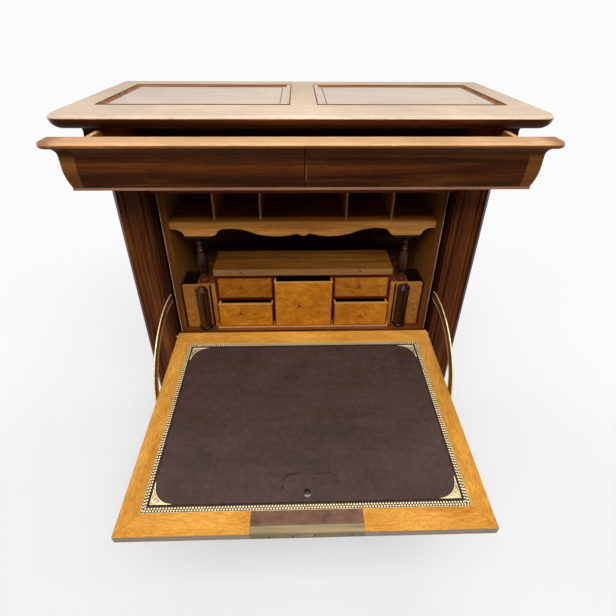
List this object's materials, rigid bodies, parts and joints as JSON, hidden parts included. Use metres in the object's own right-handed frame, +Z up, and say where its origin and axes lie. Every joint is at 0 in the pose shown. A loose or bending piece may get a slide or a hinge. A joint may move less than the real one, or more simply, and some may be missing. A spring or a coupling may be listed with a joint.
{
  "type": "escritoire",
  "caption": "Fall-front writing cabinet with a leather-lined hinged fall, fitted interior of pigeonholes and small drawers, long drawers below and a cornice-shaped top drawer.",
  "frame": {"origin": "on the floor, under the middle of the front plane of the case's corner posts", "axes": "+X to the right as seen from the front, +Y from the front plane to the back, +Z up"},
  "size_m": [1.128, 0.9497, 1.428],
  "materials": {
    "walnut": "polished dark walnut",
    "dark_turned_wood": "polished, very dark",
    "golden_wood": "polished golden wood",
    "plain_wood": "plain carcase wood",
    "leather": "gilt-tooled leather",
    "aged_brass": "aged brass"
  },
  "bodies": {
    "case": {"plinth": "walnut", "bottom_board": "walnut", "post_left": "walnut", "post_right": "walnut", "side_frames": "walnut", "side_panels": "walnut", "drawer_rails": "walnut", "head_rail": "walnut", "frieze_side_left": "walnut", "frieze_side_right": "walnut", "top_frame": "walnut", "top_panels": "walnut", "top_mouldings": "walnut", "columns": "dark_turned_wood", "gallery_sides": "golden_wood", "gallery_back": "golden_wood", "gallery_top": "golden_wood", "pigeonhole_shelf": "golden_wood", "pigeonhole_dividers": "golden_wood", "apron": "golden_wood", "nest_base": "golden_wood", "nest_boards": "golden_wood", "nest_top": "golden_wood", "bay_boards": "golden_wood", "writing_deck": "golden_wood", "back_boards": "plain_wood", "drawer_runners": "plain_wood", "drawer_guides": "plain_wood", "frieze_floor": "plain_wood"},
    "fall": {"fall_rear_rail": "golden_wood", "fall_side_rails": "golden_wood", "fall_front_rail": "golden_wood", "lock_block": "walnut", "fall_panel": "plain_wood", "fall_moulding": "walnut", "writing_leather": "leather", "lock_case": "aged_brass", "lock_selvedge": "aged_brass", "fall_stays": "aged_brass", "fall_pivots": "aged_brass"},
    "bolt": {"lock_bolt": "aged_brass"},
    "frieze_drawer": {"frieze_front": "walnut", "frieze_lip": "walnut", "frieze_box": "plain_wood"},
    "upper_long_drawer": {"upper_long_front": "walnut", "upper_long_box": "plain_wood"},
    "middle_long_drawer": {"middle_long_front": "walnut", "middle_long_box": "plain_wood"},
    "lower_long_drawer": {"lower_long_front": "walnut", "lower_long_box": "plain_wood"},
    "upper_left_small": {"upper_left_drawer": "golden_wood"},
    "upper_right_small": {"upper_right_drawer": "golden_wood"},
    "lower_left_small": {"lower_left_drawer": "golden_wood"},
    "lower_right_small": {"lower_right_drawer": "golden_wood"},
    "centre_small": {"centre_drawer": "golden_wood"},
    "left_box": {"left_document_box": "golden_wood", "left_half_column": "dark_turned_wood"},
    "right_box": {"right_document_box": "golden_wood", "right_half_column": "dark_turned_wood"}
  },
  "joints": [
    {"name": "fall_hinge", "type": "hinge", "parent": "case", "child": "fall", "pos_m": [0, 0.011, 0.724], "axis": [1, 0, 0], "range_deg": [-93.4, 0]},
    {"name": "bolt_slide", "type": "slide", "parent": "fall", "child": "bolt", "axis": [0, -0.9982, -0.0593], "range_m": [0, 0.005]},
    {"name": "frieze_drawer_slide", "type": "slide", "parent": "case", "child": "frieze_drawer", "axis": [0, -1, 0], "range_m": [-0.096, 0.2]},
    {"name": "upper_long_slide", "type": "slide", "parent": "case", "child": "upper_long_drawer", "axis": [0, -1, 0], "range_m": [0, 0.3]},
    {"name": "middle_long_slide", "type": "slide", "parent": "case", "child": "middle_long_drawer", "axis": [0, -1, 0], "range_m": [0, 0.3]},
    {"name": "lower_long_slide", "type": "slide", "parent": "case", "child": "lower_long_drawer", "axis": [0, -1, 0], "range_m": [0, 0.3]},
    {"name": "upper_left_slide", "type": "slide", "parent": "case", "child": "upper_left_small", "axis": [0, -1, 0], "range_m": [0, 0.07]},
    {"name": "upper_right_slide", "type": "slide", "parent": "case", "child": "upper_right_small", "axis": [0, -1, 0], "range_m": [0, 0.07]},
    {"name": "lower_left_slide", "type": "slide", "parent": "case", "child": "lower_left_small", "axis": [0, -1, 0], "range_m": [-0.025, 0.05]},
    {"name": "lower_right_slide", "type": "slide", "parent": "case", "child": "lower_right_small", "axis": [0, -1, 0], "range_m": [-0.025, 0.05]},
    {"name": "centre_slide", "type": "slide", "parent": "case", "child": "centre_small", "axis": [0, -1, 0], "range_m": [-0.025, 0.05]},
    {"name": "left_box_slide", "type": "slide", "parent": "case", "child": "left_box", "axis": [0, -1, 0], "range_m": [-0.022, 0.04]},
    {"name": "right_box_slide", "type": "slide", "parent": "case", "child": "right_box", "axis": [0, -1, 0], "range_m": [-0.018, 0.04]}
  ]
}
